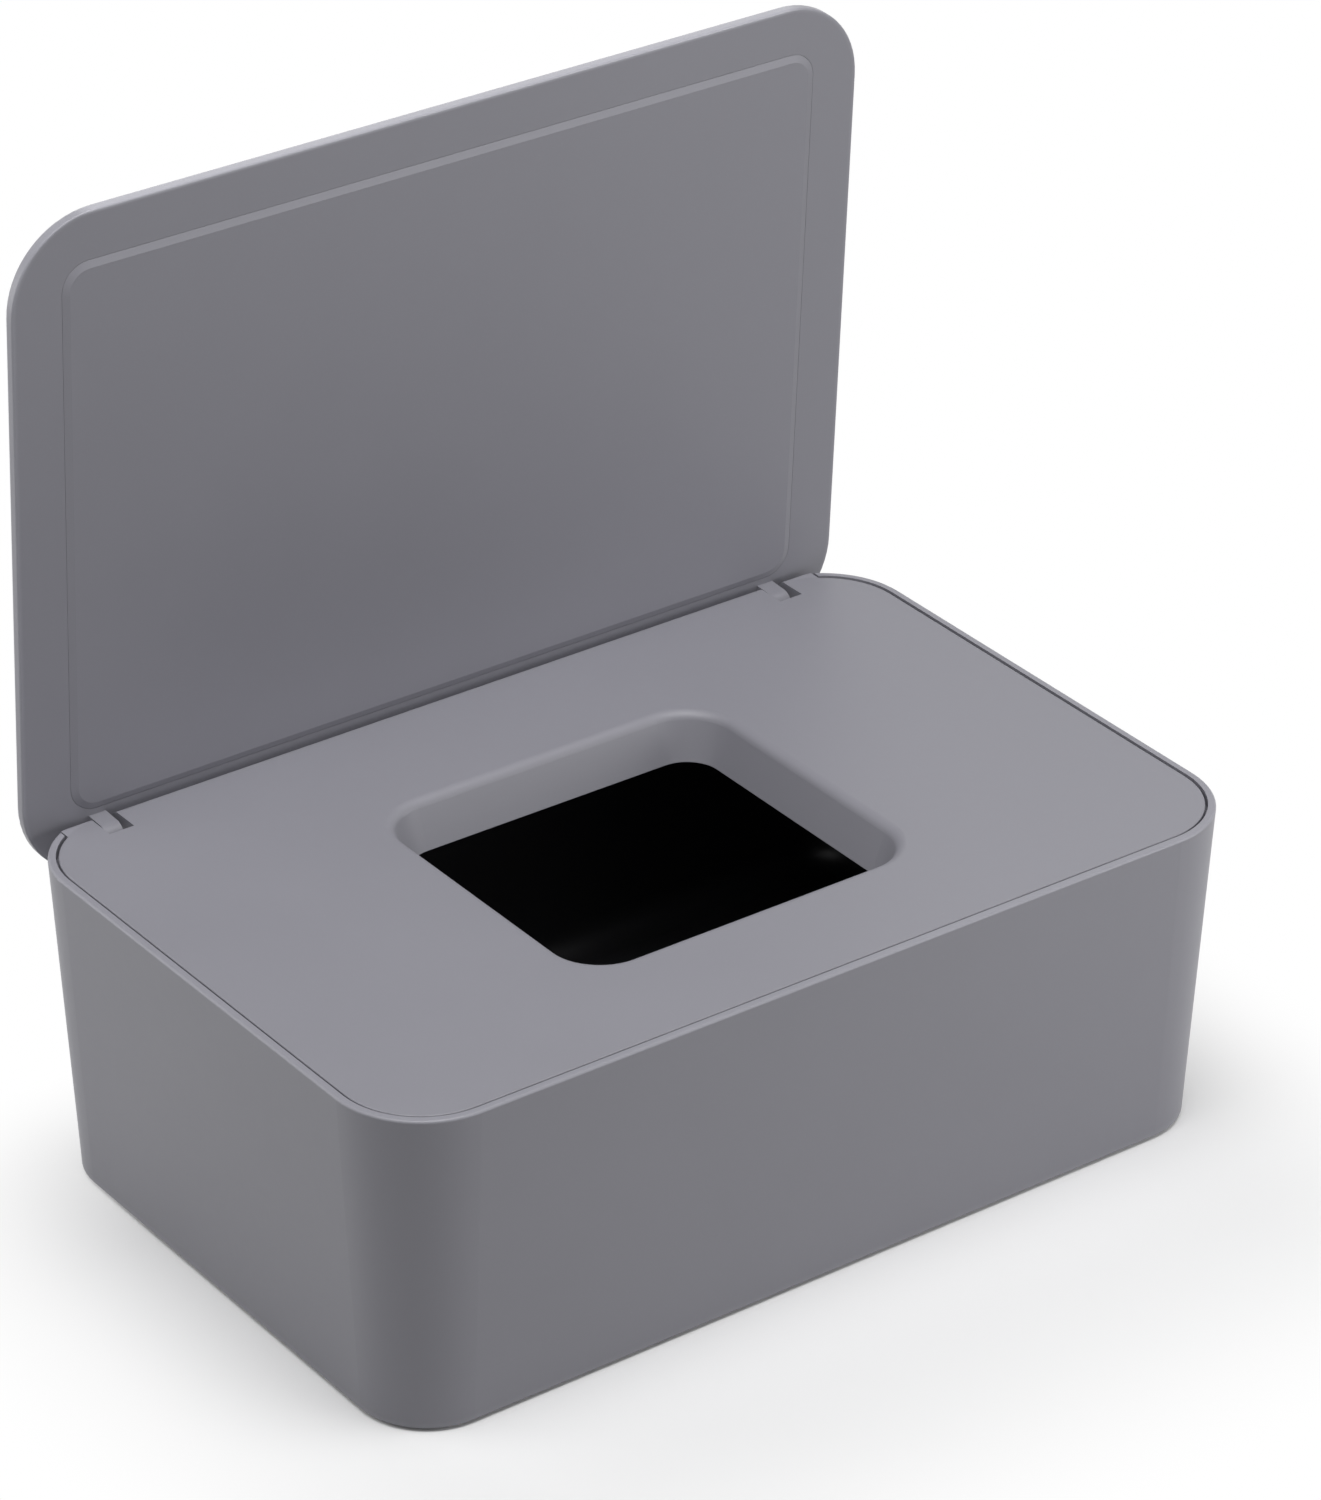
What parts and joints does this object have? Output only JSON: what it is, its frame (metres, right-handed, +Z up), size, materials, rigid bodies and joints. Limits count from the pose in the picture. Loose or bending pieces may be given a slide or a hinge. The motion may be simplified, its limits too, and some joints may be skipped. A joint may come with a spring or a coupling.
{
  "type": "countertop wipes dispenser",
  "caption": "Tapered countertop box for moist wipes, with a drop-in deck, a dished rounded-square mouth and a flip lid that stands open behind it.",
  "frame": {"origin": "middle of the box's footprint, on the table", "axes": "+X to the right along the long side, +Y to the rear where the lid is hinged, +Z up"},
  "size_m": [0.19, 0.1274, 0.1888],
  "materials": {
    "tub_plastic": "fine satin moulding",
    "deck_plastic": "fine satin moulding",
    "lid_plastic": "fine satin moulding",
    "plate_plastic": "fine satin moulding",
    "liner_plastic": "black satin",
    "seal_rubber": "matt",
    "pin_steel": "drawn",
    "foot_rubber": "matt"
  },
  "bodies": {
    "tub": {"tub_shell": "tub_plastic", "inner_liner": "liner_plastic", "foot_front_left": "foot_rubber", "foot_front_right": "foot_rubber", "foot_rear_left": "foot_rubber", "foot_rear_right": "foot_rubber"},
    "deck": {"deck_cover": "deck_plastic", "deck_seal": "seal_rubber", "hinge_pin_left": "pin_steel", "hinge_pin_right": "pin_steel"},
    "lid": {"flip_lid": "lid_plastic", "lid_inner_plate": "plate_plastic"}
  },
  "joints": [
    {"name": "deck_lift", "type": "slide", "parent": "tub", "child": "deck", "axis": [0, 0, 1], "range_m": [0, 0.016]},
    {"name": "lid_hinge", "type": "hinge", "parent": "deck", "child": "lid", "pos_m": [0, 0.0587, 0.063], "axis": [1, 0, 0], "range_deg": [0, 87]}
  ]
}
